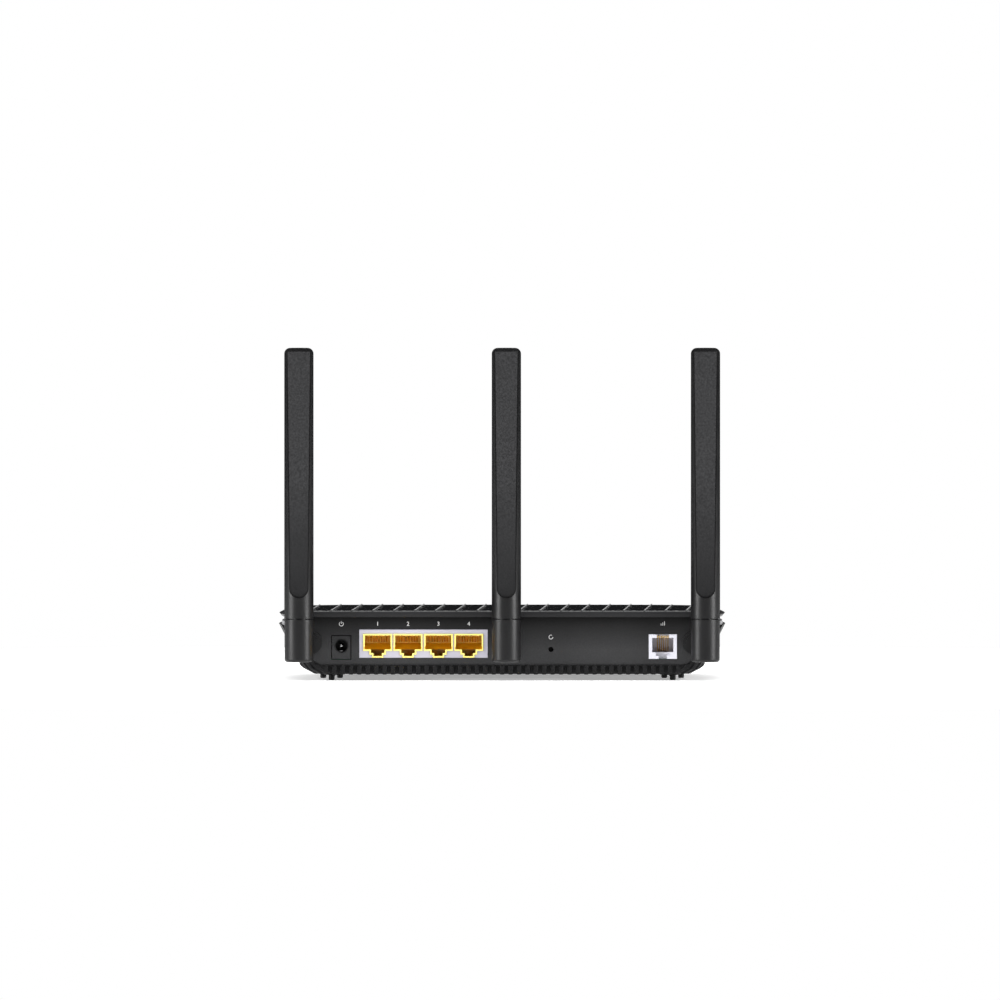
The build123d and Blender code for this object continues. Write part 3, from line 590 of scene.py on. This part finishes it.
foil_label()

# %% [markdown]
# ## Printed marks
# The jacks carry plain marks in pale ink: the numerals 1 to 4 over the network ports and simple
# symbols over the rest. A numeral is a text turned into a mesh, because a font already has good
# outlines. It gets its place only after it is a mesh.

# %% Numerals over the network ports
panel_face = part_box("rear_panel")[0].y
MARK_Z, NUMERAL_HEIGHT, INK_THICK = 26.0, 1.9, 0.02
LAN_FIRST_X, LAN_PITCH = -57.2, 13.95
SIZE_PER_HEIGHT = 1.4


def numeral(text, x, z, height):
    """A numeral standing on the panel: its outline gets a hair of thickness, then its place."""
    curve = bpy.data.curves.new(f"text_{text}", "FONT")
    curve.body = text
    curve.size = height * SIZE_PER_HEIGHT
    curve.align_x, curve.align_y = "CENTER", "CENTER"
    curve.extrude = INK_THICK * MM
    holder = bpy.data.objects.new("holder", curve)
    bpy.context.collection.objects.link(holder)
    bpy.context.view_layer.update()
    mesh = bpy.data.meshes.new_from_object(holder)
    bpy.data.objects.remove(holder)
    flat = np.empty(len(mesh.vertices) * 3)
    mesh.vertices.foreach_get("co", flat)
    flat = flat.reshape(-1, 3)
    placed = np.stack([flat[:, 0] + x, panel_face - INK_THICK * MM - flat[:, 2],
                       flat[:, 1] + z], -1)
    mesh.vertices.foreach_set("co", placed.ravel())
    mesh.update()
    obj = bpy.data.objects.new(f"mark_{text}", mesh)
    bpy.context.collection.objects.link(obj)
    mesh.materials.clear()
    mesh.materials.append(mark_ink)
    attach(obj, "base")
    return obj


for k in range(4):
    numeral(str(k + 1), (LAN_FIRST_X + k * LAN_PITCH) * MM, MARK_Z * MM, NUMERAL_HEIGHT * MM)
print("numerals at", MARK_Z, "mm")

# %% [markdown]
# A symbol is a flat bar of ink bent along a few points: an open ring with a bar for power, an
# open ring over the reset hole, and three rising bars over the line jack.

# %% Symbols over the other jacks
STROKE_WIDTH, STROKE_LIFT = 0.22, 0.04
POWER_X, POWER_RING, POWER_BAR = -73.9, 0.95, (26.1, 26.7, 27.2)
RESET_X, RESET_MARK_Z, RESET_RING = 22.4, 20.0, 0.9
LINE_X, LINE_STEP, LINE_LOW, LINE_TOP = 73.8, 0.8, 25.3, 26.2


def stroke(name, path):
    """A flat bar of ink along points (x, z) in millimetres on the panel: each point is moved by
    half the width to both sides of the path."""
    path = np.asarray(path, float)
    run = np.gradient(path, axis=0)
    run /= np.linalg.norm(run, axis=1)[:, None]
    side = np.stack([-run[:, 1], run[:, 0]], -1) * STROKE_WIDTH / 2
    corners = [(1, 0.0), (1, STROKE_LIFT), (-1, STROKE_LIFT), (-1, 0.0)]
    rings = [np.stack([path[:, 0] + s * side[:, 0], panel_face / MM - lift + 0 * path[:, 0],
                       path[:, 1] + s * side[:, 1]], -1) for s, lift in corners]
    return piece(name, np.stack(rings, axis=1) * MM, bar_faces(1, len(path), len(corners)),
                 mark_ink, smooth=False)


def open_ring(x, z, radius, start, stop):
    """Points (x + radius cos a, z + radius sin a) for a from start to stop in degrees."""
    a = np.radians(np.linspace(start, stop, 25))
    return np.stack([x + radius * np.cos(a), z + radius * np.sin(a)], -1)


stroke("mark_power_ring", open_ring(POWER_X, MARK_Z, POWER_RING, 125, 415))
stroke("mark_power_bar", [(POWER_X, z) for z in POWER_BAR])
stroke("mark_reset", open_ring(RESET_X, RESET_MARK_Z, RESET_RING, 60, 360))
for k in (-1, 0, 1):
    x = LINE_X + k * LINE_STEP
    stroke(f"mark_line_{k + 2}", [(x, LINE_LOW), (x, MARK_Z), (x, LINE_TOP + 0.5 * (k + 1))])

# %% [markdown]
# ## Floor, light and surroundings
# The router stands on a pale disc, lit a little from within so that it stays white round the
# contact shadow. The disc is small, because a wide one would be mirrored in the antennas.

# %% Floor
FLOOR_RADIUS, FLOOR_GLOW = 0.55, 0.36


def floor_disc():
    """A disc: points (r cos a, r sin a, 0) with the angle going once round."""
    a = np.linspace(0, 2 * np.pi, 96, endpoint=False)
    points = np.stack([FLOOR_RADIUS * np.cos(a), FLOOR_RADIUS * np.sin(a), np.zeros_like(a)], -1)
    mesh = bpy.data.meshes.new("floor")
    mesh.from_pydata(points.tolist(), [], [list(range(len(a)))])
    obj = bpy.data.objects.new("floor", mesh)
    bpy.context.collection.objects.link(obj)
    pale = finish("floor_pale", (0.80, 0.80, 0.80), 0.9, 4.0, 0.01, 0.01, specular=0.1)
    shader_of(pale).inputs["Emission Color"].default_value = (1, 1, 1, 1)
    shader_of(pale).inputs["Emission Strength"].default_value = FLOOR_GLOW
    mesh.materials.append(pale)
    print("floor disc of", FLOOR_RADIUS, "m radius")


floor_disc()

# %% [markdown]
# One wide box overhead gives the soft shadow. Two upright boxes beside the viewer draw the pair of
# soft lines down each antenna, and a third high behind the viewer fills the panel. A weak, low
# lamp far behind the router is what makes the cover's ridges glint.

# %% Lights
def softbox(name, place, target, width, height, power):
    """A rectangular light at place that faces target."""
    light = bpy.data.lights.new(name, "AREA")
    light.shape = "RECTANGLE"
    light.size, light.size_y = width, height
    light.energy = power
    obj = bpy.data.objects.new(name, light)
    bpy.context.collection.objects.link(obj)
    obj.location = place
    obj.visible_camera = False
    obj.rotation_euler = (Vector(target) - Vector(place)).to_track_quat("-Z", "Y").to_euler()


softbox("overhead", (0.0, 0.1, 2.2), (0, 0, 0), 2.4, 2.4, 56.0)
softbox("left_strip", (-1.9, -0.85, 0.5), (0, 0, 0.08), 0.80, 1.8, 78.0)
softbox("right_strip", (1.9, -0.85, 0.5), (0, 0, 0.08), 0.80, 1.8, 78.0)
softbox("viewer_fill", (0.0, -1.8, 2.7), (0, 0, 0.05), 1.6, 0.9, 26.0)
softbox("far_glint", (0.0, 3.0, 0.62), (0, 0, 0.03), 0.6, 0.45, 0.9)
print(len(bpy.data.lights), "lights")

# %% [markdown]
# The surroundings are white to the eye and nearly dark to the parts. A white world would be
# mirrored in the polished cover, which is seen almost edge-on, and turn it grey.

# %% World
SKY_TINT, SKY_STRENGTH = (0.9, 0.95, 1.0, 1), 0.012
world = bpy.data.worlds.new("surroundings")
bpy.context.scene.world = world
world.use_nodes = True
tree = world.node_tree
sky = tree.nodes["Background"]
seen = tree.nodes.new("ShaderNodeBackground")
seen.inputs["Color"].default_value = (1, 1, 1, 1)
sky.inputs["Color"].default_value = SKY_TINT
sky.inputs["Strength"].default_value = SKY_STRENGTH
path_kind = tree.nodes.new("ShaderNodeLightPath")
chooser = tree.nodes.new("ShaderNodeMixShader")
tree.links.new(path_kind.outputs["Is Camera Ray"], chooser.inputs["Fac"])
tree.links.new(sky.outputs["Background"], chooser.inputs[1])
tree.links.new(seen.outputs["Background"], chooser.inputs[2])
tree.links.new(chooser.outputs["Shader"], tree.nodes["World Output"].inputs["Surface"])
bpy.context.scene.view_settings.view_transform = "Standard"
print("world strength", SKY_STRENGTH)
